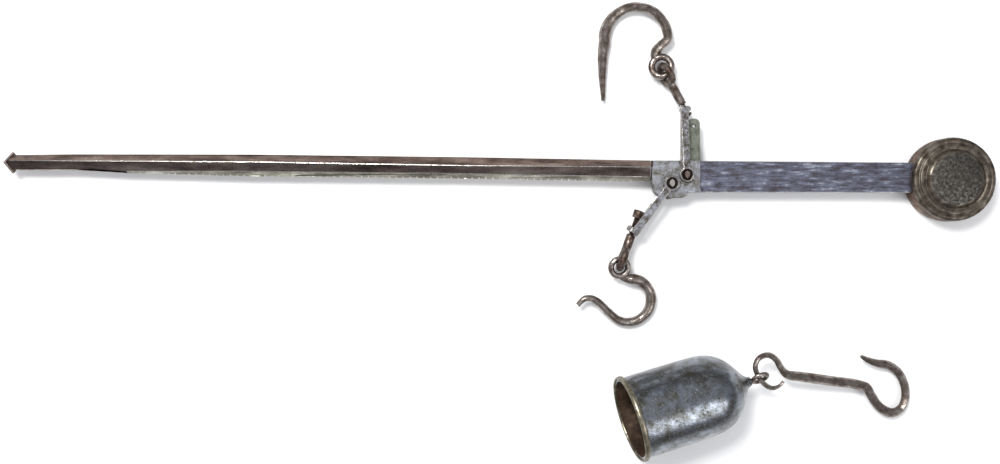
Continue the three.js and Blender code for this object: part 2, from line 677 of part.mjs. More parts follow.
function loopSolid() {
  const sides = 8;
  const steps = 24;
  const points = [];
  const index = [];
  for (let i = 0; i < steps; i++) {
    const turn = (2 * Math.PI * i) / steps;
    const [c, d] = [Math.cos(turn), Math.sin(turn)];
    const at = new THREE.Vector3(LOOP_HALF_WIDTH * d, 0, LOOP_CENTRE - LOOP_HALF_LENGTH * c);
    const out = new THREE.Vector3(d / LOOP_HALF_WIDTH, 0, -c / LOOP_HALF_LENGTH).normalize();
    for (let j = 0; j < sides; j++) {
      const around = (2 * Math.PI * j) / sides;
      const p = at.clone().addScaledVector(out, LOOP_WIRE * Math.cos(around));
      points.push(p.add(new THREE.Vector3(0, LOOP_WIRE * Math.sin(around), 0)));
      const [a, b] = [i * sides + j, i * sides + ((j + 1) % sides)];
      const [e, f] = [((i + 1) % steps) * sides + j, ((i + 1) % steps) * sides + ((j + 1) % sides)];
      index.push(a, b, f, a, f, e);
    }
  }
  const ring = new THREE.BufferGeometry().setFromPoints(points);
  ring.setIndex(index);
  const stemFrom = BELL_LENGTH - LEAD_DEPTH - 4;
  const stemTo = LOOP_CENTRE - LOOP_HALF_LENGTH;
  const stem = rod(LOOP_WIRE, stemTo - stemFrom, 14).rotateX(Math.PI / 2).translate(0, 0, (stemFrom + stemTo) / 2);
  const head = rod(4, 2, 16).rotateX(Math.PI / 2).translate(0, 0, stemFrom);
  return join(ring, stem, head);
}

const bellLift = Math.max(...BELL_PROFILE.map(([r, z]) => z * Math.sin(BELL_TILT) + r * Math.cos(BELL_TILT)));
const bellWay = new THREE.Vector3(
  Math.cos(BELL_TURN) * Math.cos(BELL_TILT),
  Math.sin(BELL_TURN) * Math.cos(BELL_TILT),
  -Math.sin(BELL_TILT),
);
const bellMouth = new THREE.Vector3(BELL_TIP.x, BELL_TIP.y, bellLift).addScaledVector(bellWay, -BELL_LENGTH).setZ(bellLift + 0.02);
const bell = frameAt("poise_bell_frame", bellMouth);
const LOOP_ROLL = THREE.MathUtils.degToRad(35);
const bellUp = new THREE.Vector3(0, 0, 1).addScaledVector(bellWay, Math.sin(BELL_TILT)).normalize();
const bellSide = new THREE.Vector3().crossVectors(bellUp, bellWay);
const loopAcross = bellUp.clone().multiplyScalar(Math.cos(LOOP_ROLL)).addScaledVector(bellSide, Math.sin(LOOP_ROLL));
const loopNormal = new THREE.Vector3().crossVectors(bellWay, loopAcross);
bell.quaternion.setFromRotationMatrix(new THREE.Matrix4().makeBasis(loopAcross, loopNormal, bellWay));
place(bell, "poise_bell_shell", bellSolid(), "tinnedSheet");
place(bell, "poise_rim_ring", rimRing(), "tinnedSheet");
place(bell, "poise_lead_fill", leadFill(), "lead");
place(bell, "poise_loop", loopSolid(), "forgedIron");

// Poise hook: an open eye, a straight shank and the hook that hangs on the arm, one bar throughout
const POISE_LINK = new THREE.Vector2(-6.9, -5); // the eye wire's middle where the bell's loop holds it
const POISE_SLOPE = -0.166;
const POISE_SHANK = 58.4;
const shankEnd = [13.3 + POISE_SHANK, -11.9];
const fromShank = (x, y) => [shankEnd[0] + x, shankEnd[1] + y];
const poisePath = [
  [10.9, -7.9],
  [7.9, -10.9],
  [2.5, -12.4],
  [-2.8, -10],
  [-7.8, -4.2],
  [-10.4, 3],
  [-7.8, 9],
  [-0.8, 11.4],
  [5.2, 8.1],
  [9, 1.9],
  [13.3, -2.6],
  [24, -4.6],
  [48, -8.3],
  fromShank(-4, 0.6),
  fromShank(3.4, -1.8),
  fromShank(7.3, -8),
  fromShank(12.6, -15.3),
  fromShank(19.8, -19.9),
  fromShank(25.3, -20.4),
  fromShank(30.9, -16.9),
  fromShank(33.7, -8.9),
  fromShank(32.9, -0.1),
  fromShank(28.5, 8.5),
  fromShank(21.4, 13.8),
  fromShank(11.8, 15.8),
  fromShank(3.9, 18.5),
  fromShank(-1.2, 21.2),
];
const poiseRadius = [[0, 1.2], [0.05, 1.9], [0.14, 2.2], [0.24, 2.5], [0.31, 3.4], [0.36, 3.7], [0.6, 3.5], [0.7, 3.4], [0.82, 3.3], [0.92, 3.1], [0.97, 2.2], [1, 1.2]];
const poiseNormal = new THREE.Vector3(-POISE_SLOPE, 0, 1).normalize();
const poiseTurn = new THREE.Quaternion().setFromUnitVectors(new THREE.Vector3(0, 0, 1), poiseNormal);
const linkPoint = bellMouth.clone().addScaledVector(bellWay, LOOP_CENTRE);
const linkOffset = new THREE.Vector3(POISE_LINK.x, POISE_LINK.y, 0).applyQuaternion(poiseTurn);
const poise = frameAt("poise_hook_frame", linkPoint.clone().sub(linkOffset));
poise.quaternion.copy(poiseTurn);
place(poise, "poise_hook", solid(forged(poisePath, poiseRadius, { sides: 8, steps: 76, squareness: 0.6 })), "forgedIron");

// The frame's origin is under the middle of the whole balance, on the table
const box = new THREE.Box3().setFromObject(balance, true);
const middle = box.getCenter(new THREE.Vector3());
balance.position.set(-middle.x, -middle.y, 0);

const assembly = new THREE.Group();
assembly.add(balance);
export default assembly;
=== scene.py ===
# %% [markdown]
# A hand-forged steelyard balance lies flat on a pale table and is seen from straight above. The solids come
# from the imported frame, so each piece is already in its place. This lesson gives them the finish of old
# iron, worn steel and tinned sheet, and works out the round and curved pieces afresh as fine surfaces.
# %% The frame
import json
import math

import bmesh
import bpy
import numpy as np
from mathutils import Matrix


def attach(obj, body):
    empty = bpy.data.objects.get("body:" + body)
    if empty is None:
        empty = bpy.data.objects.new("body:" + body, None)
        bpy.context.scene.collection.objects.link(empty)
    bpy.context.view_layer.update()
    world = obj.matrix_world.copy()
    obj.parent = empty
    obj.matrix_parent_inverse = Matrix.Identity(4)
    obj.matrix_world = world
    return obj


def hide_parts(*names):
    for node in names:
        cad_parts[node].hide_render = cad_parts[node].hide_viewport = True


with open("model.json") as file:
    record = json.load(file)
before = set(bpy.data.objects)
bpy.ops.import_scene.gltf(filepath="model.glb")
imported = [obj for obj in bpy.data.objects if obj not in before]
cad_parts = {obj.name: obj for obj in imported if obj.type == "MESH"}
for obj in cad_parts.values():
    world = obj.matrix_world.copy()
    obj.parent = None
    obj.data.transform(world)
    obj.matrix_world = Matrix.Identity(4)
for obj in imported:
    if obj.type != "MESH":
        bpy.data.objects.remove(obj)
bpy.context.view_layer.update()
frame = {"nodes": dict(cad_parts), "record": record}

# %% [markdown]
# The photograph was taken from above, so the camera looks straight down. One pixel is 0.725 mm at the
# beam's middle height, and the lean of the counterweight's wall towards the edge of the picture gives the
# distance. The model is in metres, but places and sizes here are in millimetres, as on a maker's drawing.
# %% The camera
PIXEL = 0.725
PICTURE_WIDTH = 1000
SENSOR = 36.0
BEAM_HEIGHT = 13.0
EYE_HEIGHT = 826.0  # above the beam's middle
PIN = np.array([124.067, 32.053, BEAM_HEIGHT])  # the middle of the suspension pin
PIN_IN_PICTURE = (123.6, 35.2)  # from the middle of the picture to the pin
PICTURE_MIDDLE = PIN[:2] - PIN_IN_PICTURE

lens_data = bpy.data.cameras.new("overhead")
lens_data.sensor_width = SENSOR
lens_data.lens = SENSOR * EYE_HEIGHT / (PICTURE_WIDTH * PIXEL)
lens_data.clip_end = 20
overhead = bpy.data.objects.new("overhead", lens_data)
overhead.location = (PICTURE_MIDDLE[0] / 1000, PICTURE_MIDDLE[1] / 1000, (BEAM_HEIGHT + EYE_HEIGHT) / 1000)
bpy.context.scene.collection.objects.link(overhead)
bpy.context.scene.camera = overhead
print("lens", round(lens_data.lens, 2), "mm")

# %% [markdown]
# Studio light on metal is mostly what the metal mirrors. One wide soft lamp from the upper left draws the
# bright line along the arm's arris and down the bell, and a weaker one opposite keeps the far sides
# readable. The room itself comes a little later, once there is a function for its nodes.
# %% The lamps
def soft_lamp(name, place, watts, size):
    """A square lamp at a place, in metres, that faces the origin. It leans back from straight down by the
    angle atan2(distance aside, height), and is then turned about Z to the side it stands on."""
    data = bpy.data.lights.new(name, "AREA")
    data.energy, data.size = watts, size
    lamp = bpy.data.objects.new(name, data)
    lamp.location = place
    x, y, z = place
    lamp.rotation_euler = (math.atan2(math.hypot(x, y), z), 0, math.atan2(x, -y))
    bpy.context.scene.collection.objects.link(lamp)


soft_lamp("window", (-0.32, 0.5, 1.2), watts=19, size=0.42)
soft_lamp("fill", (1.1, -0.7, 1.2), watts=9, size=0.9)
bpy.context.scene.view_settings.view_transform = "Standard"
print("lamps", [light.name for light in bpy.data.lights])


# %% [markdown]
# Each finish is a small set of nodes. A colour is written as it looks on a screen and turned to linear
# light by one function, and a second one adds a node with its values and its links.
# %% Colours and nodes
def ink(code):
    """A hex colour as linear light: each part c goes to c / 12.92, or ((c + 0.055) / 1.055) ** 2.4."""
    parts = [int(code[i : i + 2], 16) / 255 for i in (1, 3, 5)]
    return tuple(c / 12.92 if c <= 0.04045 else ((c + 0.055) / 1.055) ** 2.4 for c in parts) + (1.0,)


def node(tree, kind, links=(), values=(), stops=(), **settings):
    """Adds a node. Links join its sockets to others, values go into its sockets, and stops are the places
    and hex colours of a colour ramp."""
    made = tree.nodes.new(kind)
    for key, value in settings.items():
        setattr(made, key, value)
    for key, value in dict(values).items():
        made.inputs[key].default_value = value
    for key, source in dict(links).items():
        tree.links.new(source, made.inputs[key])
    if stops:
        while len(made.color_ramp.elements) < len(stops):
            made.color_ramp.elements.new(0.5)
        for element, (place, code) in zip(made.color_ramp.elements, stops):
            element.position, element.color = place, ink(code)
    return made


print("mid grey as linear light", round(ink("#808080")[0], 3))

# %% [markdown]
# The room is bright overhead and darker towards the walls. Flat metal that faces up mirrors the ceiling,
# and metal that slopes mirrors the walls or the floor, so each facet gets its own tone. In a world,
# Generated is the way a ray looks, and its Z runs from -1, straight down, to 1, straight up.
# %% The room
world = bpy.data.worlds.new("studio")
bpy.context.scene.world = world
world.use_nodes = True
room = world.node_tree
look = node(room, "ShaderNodeTexCoord").outputs["Generated"]
upward = node(room, "ShaderNodeSeparateXYZ", {0: look}).outputs["Z"]
height = node(room, "ShaderNodeMapRange", {"Value": upward}, {"From Min": -1.0, "From Max": 1.0}).outputs[0]
sky = node(room, "ShaderNodeValToRGB", {"Fac": height},
           stops=[(0.4, "#645c57"), (0.56, "#9a9798"), (0.82, "#f6f8ff")])
room.links.new(sky.outputs["Color"], room.nodes["Background"].inputs["Color"])
room.nodes["Background"].inputs["Strength"].default_value = 0.68
print("room", len(room.nodes), "nodes")


# %% [markdown]
# Old iron is never one colour. Handling polishes the high places, damp leaves brown patches a few
# millimetres wide, and pits are darker, rougher and lower than the metal round them. All of these follow
# a few noises, so a place that is dark is also dull. Real grain is finer than half a millimetre and
# wouldn't show at this distance, so it is drawn 1.6 mm wide.
# %% The patterns of worn metal
METRE = 1000  # mm: a noise of scale METRE / size has features of that size
GRAIN_MM = 1.6
HAMMER_MM = 7.0
PIT_EDGE = 0.1  # how far the noise falls from a pit's edge to its floor


def worn_patterns(tree, patch_mm, pit_mm, pit_share, stretch):
    """The place, and the noises over it: broad patches drawn out by stretch, fine grain, hammer dents, and
    a mask of pits. The mask is a product: it needs pit noise below the share and a low broad noise."""
    place = node(tree, "ShaderNodeTexCoord").outputs["Object"]
    drawn = node(tree, "ShaderNodeMapping", {"Vector": place}, {"Scale": stretch}).outputs["Vector"]
    broad, fine, pits, hammer = (
        node(tree, "ShaderNodeTexNoise", {"Vector": at},
             {"Scale": METRE / size, "Detail": detail, "Roughness": rough}).outputs[0]
        for at, size, detail, rough in (
            (drawn, patch_mm, 6.0, 0.62), (place, GRAIN_MM, 4.0, 0.7), (place, pit_mm, 2.0, 0.5),
            (place, HAMMER_MM, 1.0, 0.5)))
    deep = node(tree, "ShaderNodeMapRange", {"Value": pits},
                {"From Min": pit_share, "From Max": pit_share - PIT_EDGE})
    damp = node(tree, "ShaderNodeMapRange", {"Value": broad}, {"From Min": 0.62, "From Max": 0.4})
    pitted = node(tree, "ShaderNodeMath", {0: deep.outputs[0], 1: damp.outputs[0]}, operation="MULTIPLY")
    return place, broad, fine, hammer, pitted.outputs[0]


print("pixels across one grain", round(GRAIN_MM / PIXEL, 1))


# %% [markdown]
# The colour is a ramp over the broad noise, made a little uneven by the grain, with the pits in a darker
# colour. A finish may also have round places of painted shade in the pit colour, where the bore of a ring
# leaves a shadow on what lies under it, each given by its middle and its reach.
# %% The colour of worn metal
BORE_SHADE_EDGE = 1.2
GRAIN_SHARE = 0.6


def worn_colour(tree, patterns, patches, pit, bore_shade_spots):
    """Patches times (0.4 + 0.6 grain), then the pit colour by the mask and inside each circle of painted
    shade.
    """
    place, broad, fine, _, pitted = patterns
    body = node(tree, "ShaderNodeValToRGB", {"Fac": broad}, stops=patches).outputs["Color"]
    grain = node(tree, "ShaderNodeValToRGB", {"Fac": fine}, stops=[(0.25, "#8f8a86"), (0.75, "#ffffff")])
    tint = node(tree, "ShaderNodeMix", {6: body, 7: grain.outputs["Color"]}, {0: GRAIN_SHARE},
                data_type="RGBA", blend_type="MULTIPLY").outputs[2]
    tint = node(tree, "ShaderNodeMix", {0: pitted, 6: tint}, {7: ink(pit)}, data_type="RGBA").outputs[2]
    for x, y, reach in bore_shade_spots:
        flat = node(tree, "ShaderNodeVectorMath", {0: place}, {1: (METRE, METRE, 0)}, operation="MULTIPLY")
        away = node(tree, "ShaderNodeVectorMath", {0: flat.outputs[0]}, {1: (x, y, 0)},
                    operation="DISTANCE")
        near = node(tree, "ShaderNodeMapRange", {"Value": away.outputs["Value"]},
                    {"From Min": reach + BORE_SHADE_EDGE, "From Max": reach})
        tint = node(tree, "ShaderNodeMix", {0: near.outputs[0], 6: tint}, {7: ink(pit)},
                    data_type="RGBA").outputs[2]
    return tint


# Each round place printed below is a circle of painted shade.
print("a pit's edge is", PIT_EDGE, "of the noise, and a dirty place's edge is", BORE_SHADE_EDGE, "mm")


# %% [markdown]
# Relief is laid on in three bumps, each over the one before: shallow hammer dents, grain, and pits that go
# down instead of up. With the colour and the gloss that makes the whole finish, and the metals below
# differ only in the colours, sizes and strengths that they give to it.
# %% The worn metal finish
DENT_DEPTH = 0.0012  # metres, as a Bump node wants it
SKIN_DEPTH = 0.0003


def worn_metal(name, patches, pit, patch_mm=9.0, pit_mm=1.1, pit_share=0.42, rough=(0.3, 0.55),
               metallic=0.9, dents=0.25, stretch=(1, 1, 1), bore_shade_spots=()):
    """A metal with patches, grain, pits and dents. Its roughness goes from rough[0] where the broad noise
    is high and the colour pale, to rough[1] where both are low."""
    made = bpy.data.materials.new(name)
    made.use_nodes = True
    tree = made.node_tree
    shader = tree.nodes["Principled BSDF"]
    shader.inputs["Metallic"].default_value = metallic
    patterns = worn_patterns(tree, patch_mm, pit_mm, pit_share, stretch)
    _, broad, fine, hammer, pitted = patterns
    tree.links.new(worn_colour(tree, patterns, patches, pit, bore_shade_spots), shader.inputs["Base Color"])
    gloss = node(tree, "ShaderNodeMapRange", {"Value": broad},
                 {"From Min": 0.7, "From Max": 0.35, "To Min": rough[0], "To Max": rough[1]})
    tree.links.new(gloss.outputs[0], shader.inputs["Roughness"])
    low = node(tree, "ShaderNodeBump", {"Height": hammer}, {"Strength": dents, "Distance": DENT_DEPTH})
    mid = node(tree, "ShaderNodeBump", {"Height": fine, "Normal": low.outputs[0]},
               {"Strength": 0.3, "Distance": SKIN_DEPTH})
    top = node(tree, "ShaderNodeBump", {"Height": pitted, "Normal": mid.outputs[0]},
               {"Strength": 0.5, "Distance": SKIN_DEPTH}, invert=True)
    tree.links.new(top.outputs[0], shader.inputs["Normal"])
    return made


print("bump distances", DENT_DEPTH * METRE, "and", SKIN_DEPTH * METRE, "mm")

# %% [markdown]
# The iron was forged, left black from the fire and then went brown with damp and oil. Where hands rub it,
# on the hooks and along the arrises, it is grey and bright again, with a painted highlight on the arrises.
# The long arm shows three facets, and each has a finish of its own tone: the middle one is painted dark as
# painted shade, and the lower one is painted lighter as painted light over its wear. The patches are drawn
# out along the bar as the hammer drew it.
# %% Iron finishes
# Brown upper face: warm, half polished, streaked along the arm.
arm_iron = worn_metal(
    "forged_arm_iron", [(0.3, "#3a2d28"), (0.44, "#614f48"), (0.58, "#87746a"), (0.75, "#a5988d")],
    "#1c1412", patch_mm=10, rough=(0.28, 0.46), stretch=(0.3, 1, 1), dents=0.15)
# Middle face: painted nearly black as painted shade.
painted_shade_facet = worn_metal(
    "middle_facet_painted_shade", [(0.3, "#2c2522"), (0.44, "#4b423f"), (0.58, "#685e59"), (0.75, "#8b817a")],
    "#15110f", patch_mm=9, rough=(0.3, 0.5), stretch=(0.25, 1, 1), dents=0.12)
# Lower face: grey where the poise's hook rubs over it, and painted lighter as painted light.
lit_and_worn_facet = worn_metal(
    "lower_facet_painted_light_and_wear", [(0.32, "#625f55"), (0.46, "#8a877b"), (0.6, "#a9a69a"), (0.76, "#c8c5ba")],
    "#2d2a24", patch_mm=8, rough=(0.3, 0.5), stretch=(0.4, 1, 1), dents=0.12)
# Hooks: hammered all over and polished by handling, so the dents glint.
hook_iron = worn_metal(
    "forged_hook_iron", [(0.32, "#5a4c43"), (0.46, "#7b716a"), (0.58, "#999089"), (0.75, "#c2bcb6")],
    "#382a22", patch_mm=6, pit_mm=0.9, pit_share=0.42, rough=(0.2, 0.34), dents=0.4)
# Swivels: seldom touched, so they keep their rust and the pits are red-brown.
rusty_iron = worn_metal(
    "rusty_swivel_iron", [(0.3, "#30231c"), (0.45, "#594a41"), (0.6, "#80766f"), (0.76, "#b3ada8")],
    "#33190c", patch_mm=6, rough=(0.28, 0.55), metallic=0.85)
print("iron", [m.name for m in bpy.data.materials])

# %% [markdown]
# The straps, cheeks and flat bar are steel, worn to a cool grey with paler scratches. The bar and the
# tongue were filed flat, so they have hardly any dents, and the straps and cheeks kept the hammer's. Round
# the pins, where the straps' rings leave the cheeks in shadow, the cheeks carry painted shade.
# %% Steel finishes
LOAD_PIN = PIN[:2] + (10.8, 6.1)
BORE_SHADE_REACH = 4.6

# Straps: bright with a few brown stains.
bright_steel = worn_metal(
    "worn_bright_steel", [(0.34, "#4a4136"), (0.43, "#6f6c68"), (0.54, "#8b8c92"), (0.68, "#c0c3cc")],
    "#2c241c", patch_mm=4, pit_share=0.46, rough=(0.24, 0.42))
# Cheek plates: the same steel with wider stains and painted shade round both pins.
cheek_steel = worn_metal(
    "filed_cheek_steel", [(0.32, "#5a5345"), (0.42, "#77756f"), (0.54, "#94959a"), (0.7, "#bfc1c8")],
    "#2a231c", patch_mm=6, pit_share=0.45, rough=(0.28, 0.45),
    bore_shade_spots=[(*PIN[:2], BORE_SHADE_REACH), (*LOAD_PIN, BORE_SHADE_REACH)])
# Flat bar: bluish, with scuffs along its length.
bar_steel = worn_metal(
    "scuffed_bar_steel", [(0.4, "#504d55"), (0.48, "#666877"), (0.58, "#7b7f90"), (0.66, "#b9bdca")],
    "#42362e", patch_mm=2.2, pit_share=0.44, rough=(0.3, 0.46), stretch=(0.22, 1, 1), dents=0.06)
# Tongue: smooth and slightly green from old oil.
tongue_steel = worn_metal(
    "grey_tongue_steel", [(0.32, "#4a4c43"), (0.46, "#6b6f64"), (0.6, "#7f8378"), (0.76, "#9a9e94")],
    "#33332b", patch_mm=9, rough=(0.35, 0.5), dents=0.06)
# Edges: rubbed down to clean metal, and painted near white as a painted highlight.
edge_wear_and_highlight = worn_metal(
    "rubbed_edge_painted_highlight", [(0.3, "#8d867e"), (0.5, "#c9c4bd"), (0.7, "#ece9e4")],
    "#5c5248", patch_mm=5, rough=(0.2, 0.32), metallic=1.0, dents=0.05)
print("iron and steel", len(bpy.data.materials))

# %% [markdown]
# The round weight was turned on a lathe and never polished, so its flat boss is pitted and its wall has
# rusted. The bell is sheet iron dipped in tin: cool and mirror-like where the tin is left, brown inside
# where damp sat. Lead goes dull and grey within days.
# %% Weight and bell finishes
# Rings of the weight: dark turned iron.
weight_iron = worn_metal(
    "turned_weight_iron", [(0.32, "#302b26"), (0.46, "#544d44"), (0.6, "#746c61"), (0.76, "#979086")],
    "#4b3324", patch_mm=6, rough=(0.32, 0.5), dents=0.12)
# Boss: evenly covered in small pits.
weight_boss = worn_metal(
    "pitted_boss_iron", [(0.35, "#43403c"), (0.5, "#524f4a"), (0.62, "#69665f"), (0.74, "#8d8a81")],
    "#2c2925", patch_mm=2.2, pit_mm=1.2, pit_share=0.5, rough=(0.35, 0.5), dents=0.05)
# Wall: brown rust, rough and dull.
weight_wall = worn_metal(
    "rusted_wall_iron", [(0.3, "#2e1f14"), (0.5, "#5f4430"), (0.72, "#857159")],
    "#2a170d", patch_mm=10, rough=(0.4, 0.65), metallic=0.8)
# Outside of the bell: tin with a long soft gleam, and pits where it has gone.
tinned_sheet = worn_metal(
    "tinned_bell_sheet", [(0.3, "#4f4c45"), (0.42, "#6c6e6d"), (0.56, "#858a92"), (0.74, "#adb5c2")],
    "#2e2822", patch_mm=9, pit_mm=1.3, pit_share=0.42, rough=(0.17, 0.3), metallic=1.0, dents=0.08)
# Inside of the bell: rusty and dull.
bell_inside = worn_metal(
    "brown_bell_inside", [(0.3, "#1f1610"), (0.5, "#49372a"), (0.7, "#75604c")],
    "#160f0a", patch_mm=12, rough=(0.5, 0.75), metallic=0.6)
# Rim: a rolled bead, rubbed to a yellowish grey.
rim_bead = worn_metal(
    "worn_rim_bead", [(0.3, "#4d4534"), (0.5, "#7f7866"), (0.72, "#b5b09f")],
    "#332a1d", patch_mm=7, rough=(0.25, 0.45))
# Lead: soft, grey and without gloss.
dull_lead = worn_metal(
    "dull_cast_lead", [(0.3, "#35363a"), (0.6, "#56585c")], "#26272a", rough=(0.55, 0.75), metallic=0.6)
print("finishes", len(bpy.data.materials))

# %% [markdown]
# The floor is one flat sheet of matt paper well wider than the view, a fifth of a millimetre below the
# balance.
# %% The floor
FLOOR_REACH = 3  # metres each way
FLOOR_DROP = 0.0002

floor_mesh = bpy.data.meshes.new("pale_sheet")
corners = [(x * FLOOR_REACH, y * FLOOR_REACH, -FLOOR_DROP) for x, y in ((-1, -1), (1, -1), (1, 1), (-1, 1))]
floor_mesh.from_pydata(corners, [], [(0, 1, 2, 3)])
pale_sheet = bpy.data.objects.new("pale_sheet", floor_mesh)
bpy.context.scene.collection.objects.link(pale_sheet)
paper = bpy.data.materials.new("pale_paper")
paper.use_nodes = True
paper.node_tree.nodes["Principled BSDF"].inputs["Base Color"].default_value = ink("#f4f4f3")
paper.node_tree.nodes["Principled BSDF"].inputs["Roughness"].default_value = 0.9
floor_mesh.materials.append(paper)
print("floor", 2 * FLOOR_REACH, "m wide")

# %% [markdown]
# Each new piece stands for one solid. It moves with that solid's body, which the record names, and the
# solid itself is hidden.
# %% In place of a solid
BODY_OF = {name: body for body, names in frame["record"]["behaviour"]["bodies"].items() for name in names}


def show(piece, cad, *finishes):
    """Puts a finished piece in the scene in place of its solid."""
    for paint in finishes:
        piece.data.materials.append(paint)
    bpy.context.scene.collection.objects.link(piece)
    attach(piece, BODY_OF[cad])
    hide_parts(cad)
    return piece


# %% [markdown]
# A solid's mesh is loose triangles, so a copy is merged before anything else is done to it. Some pieces
# get several finishes, and which face gets which follows from where the middle of the face is.
# %% Merged copies and painted faces
MERGE = 2e-6  # metres
FLAT = math.radians(1.0)


def merged_copy(cad, name, join_flats=False):
    """A copy of a solid's mesh with its triangles joined and, if asked, each flat face made one face."""
    data = frame["nodes"][cad].data.copy()
    data.materials.clear()
    shape = bmesh.new()
    shape.from_mesh(data)
    bmesh.ops.remove_doubles(shape, verts=shape.verts, dist=MERGE)
    if join_flats:
        bmesh.ops.dissolve_limit(shape, angle_limit=FLAT, verts=shape.verts, edges=shape.edges)
    bmesh.ops.recalc_face_normals(shape, faces=shape.faces)
    shape.to_mesh(data)
    shape.free()
    data.name = name
    return data


def face_middles(data):
    """The middle of every face, in mm."""
    middles = np.empty(3 * len(data.polygons))
    data.polygons.foreach_get("center", middles)
    return middles.reshape(-1, 3) * METRE


def paint_faces(data, numbers):
    """Gives every face the finish with its number."""
    data.polygons.foreach_set("material_index", numbers.astype(np.int32))


print("corners closer than", MERGE * METRE, "mm are joined")


# %% [markdown]
# Every flat-sided piece was filed by hand, so its edges are slightly broken and catch the light. A copy of
# the solid gets a narrow bevel along its sharp edges only. The file leaves an edge brighter than the
# faces, so the bevel may have a finish of its own, a pale one that is partly wear and partly a painted
# highlight.
# %% Filed copies of the flat pieces
EDGE_MM = 0.3
KEEP_ANGLE = 30


def filed(cad, finish, *more, edge_mm=EDGE_MM, keep_angle=KEEP_ANGLE, edge=None, where=None):
    """A copy of a solid with its edges sharper than an angle broken by a bevel of the given width. The
    bevel takes the edge finish, and where gives each face's number from its middle, from the pin in mm."""
    data = merged_copy(cad, cad + "_filed", join_flats=True)
    piece = bpy.data.objects.new(cad + "_filed", data)
    paints = [finish, *more, edge] if edge else [finish, *more]
    bevel = piece.modifiers.new("broken_edges", "BEVEL")
    bevel.width, bevel.segments = edge_mm / METRE, 2
    bevel.limit_method, bevel.angle_limit = "ANGLE", math.radians(keep_angle)
    bevel.use_clamp_overlap = edge is None
    if edge:
        bevel.material = len(paints) - 1
    data.shade_smooth()
    data.set_sharp_from_angle(angle=math.radians(keep_angle))
    if where:
        paint_faces(data, where(face_middles(data) - PIN))
    return show(piece, cad, *paints)


print("edges that turn by more than", KEEP_ANGLE, "degrees are broken by", EDGE_MM, "mm")

# %% [markdown]
# The arm was forged from a square bar standing on its corner, so from above it shows a narrow brown upper
# face, a middle face in painted shade and a lower one in painted light over grey wear, with rubbed lines
# between that also carry a painted highlight. The flat bar beyond the pivots is cooler steel with long
# scuffs. The lines between the faces are given by their heights at six stations along the arm, measured
# from the suspension pin.
# %% The beam
STATIONS = np.array([-475.2, -431.7, -391.9, -304.9, -152.6, -14.8])
RIDGE = np.array([16.6, 16.0, 15.9, 15.4, 12.8, 11.6])
ARRIS = np.array([9.9, 10.0, 8.8, 8.6, 6.9, 4.3])


def beam_part(at):
    """0 above the ridge line y(x), 1 between ridge and arris, 2 below the arris, 3 for the flat bar."""
    upper = at[:, 1] > np.interp(at[:, 0], STATIONS, RIDGE)
    lower = at[:, 1] < np.interp(at[:, 0], STATIONS, ARRIS)
    return np.where(at[:, 0] > 0, 3, np.where(upper, 0, np.where(lower, 2, 1)))


beam = filed("beam_bar", arm_iron, painted_shade_facet, lit_and_worn_facet, bar_steel, edge_mm=0.35, keep_angle=18,
             edge=edge_wear_and_highlight, where=beam_part)
print("beam", len(beam.data.polygons), "faces")

# %% [markdown]
# The tongue, the end stop and the two cheek plates are flat and take one finish each. The stop stands out
# at the tip of the arm where hands catch it, so its edges are rubbed bright as the arm's are, with a
# painted highlight on them. The strap turns on the suspension pin and keeps all of it bright, and the pin
# takes the pale edge finish, so it is also a painted highlight.
# %% The tongue, stop, cheeks and pin
filed("tongue", tongue_steel)
filed("end_stop", arm_iron, edge=edge_wear_and_highlight)
for cad in ("front_cheek_plate", "rear_cheek_plate"):
    filed(cad, cheek_steel)
filed("suspension_knife_pin", edge_wear_and_highlight)

# %% [markdown]
# A shackle is a strap bent into a U. Its two arms lie over the cheeks and are rubbed bright, and the crown
# that joins them beyond the beam is rusty and lies lower, so its darker rusty finish is both rust and
# painted shade. So a face belongs to the crown when it lies between the arms and away from the pins.
# %% The shackles
ARM_GAP_HALF = 5.6
CROWN_FROM = 22


def shackle_part(at):
    """0 for the arms, 1 for the crown between them, which is rusty and painted in shade."""
    between = abs(at[:, 2]) < ARM_GAP_HALF
    return np.where(between & (np.hypot(at[:, 0], at[:, 1]) > CROWN_FROM), 1, 0)


for cad in ("load_shackle", "suspension_shackle"):
    strap = filed(cad, bright_steel, rusty_iron, edge_mm=0.4, edge=edge_wear_and_highlight, where=shackle_part)
    print(cad, len(strap.data.polygons), "faces")

# %% [markdown]
# What is left of the flat pieces is small: the load pin and the washers have rusted with the swivels, the
# rivet is like the arm, and the lead was poured into the bell's dome.
# %% Small flat pieces
for cad, finish in {"load_knife_pin": rusty_iron, "load_swivel_washer": rusty_iron,
                    "suspension_swivel_washer": rusty_iron, "counterweight_rivet": arm_iron,
                    "poise_lead_fill": dull_lead}.items():
    filed(cad, finish)


# %% [markdown]
# A curved piece is worked out as a grid of points. One way along the grid goes round a section and the
# other goes along the piece, so the same function makes a skin for a turned or a forged shape. A bar has
# two ends, which get a cap each, and a ring joins up with itself.
# %% From grids to skins
CREASE = math.radians(40)
SKIN_MERGE = 1e-6  # metres


